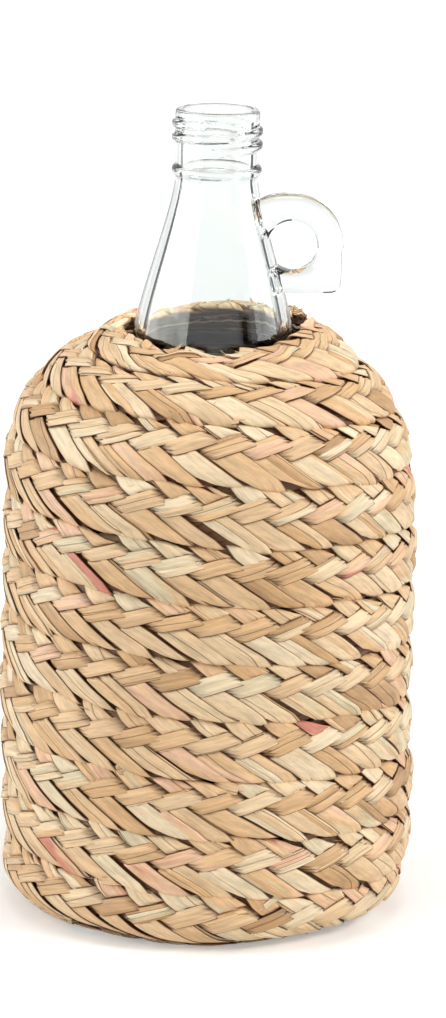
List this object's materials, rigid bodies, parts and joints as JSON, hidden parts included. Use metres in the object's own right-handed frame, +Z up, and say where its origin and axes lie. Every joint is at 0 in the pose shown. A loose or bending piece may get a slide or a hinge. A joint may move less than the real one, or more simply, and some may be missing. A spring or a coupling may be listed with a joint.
{
  "type": "woven glass vase",
  "caption": "Clear glass jug vase with a screw-finish neck and ring handle, in a sewn spiral cover of plaited seagrass over its body and shoulder.",
  "frame": {"origin": "middle of the flat face that the vase stands on, on the jug's axis", "axes": "+Z up along the jug's axis to its open mouth, +X towards the ring handle, -Y towards the viewer"},
  "size_m": [0.171, 0.171, 0.335],
  "materials": {
    "clear_glass": "polished, faint green tint",
    "seagrass": "dry leaf, satin along the fibres",
    "twine": "matt natural twine"
  },
  "bodies": {
    "root": {"glass_jug": "clear_glass", "base_mat": "seagrass", "plait_winding": "seagrass", "mat_thread": "twine", "cover_thread": "twine"}
  },
  "joints": []
}
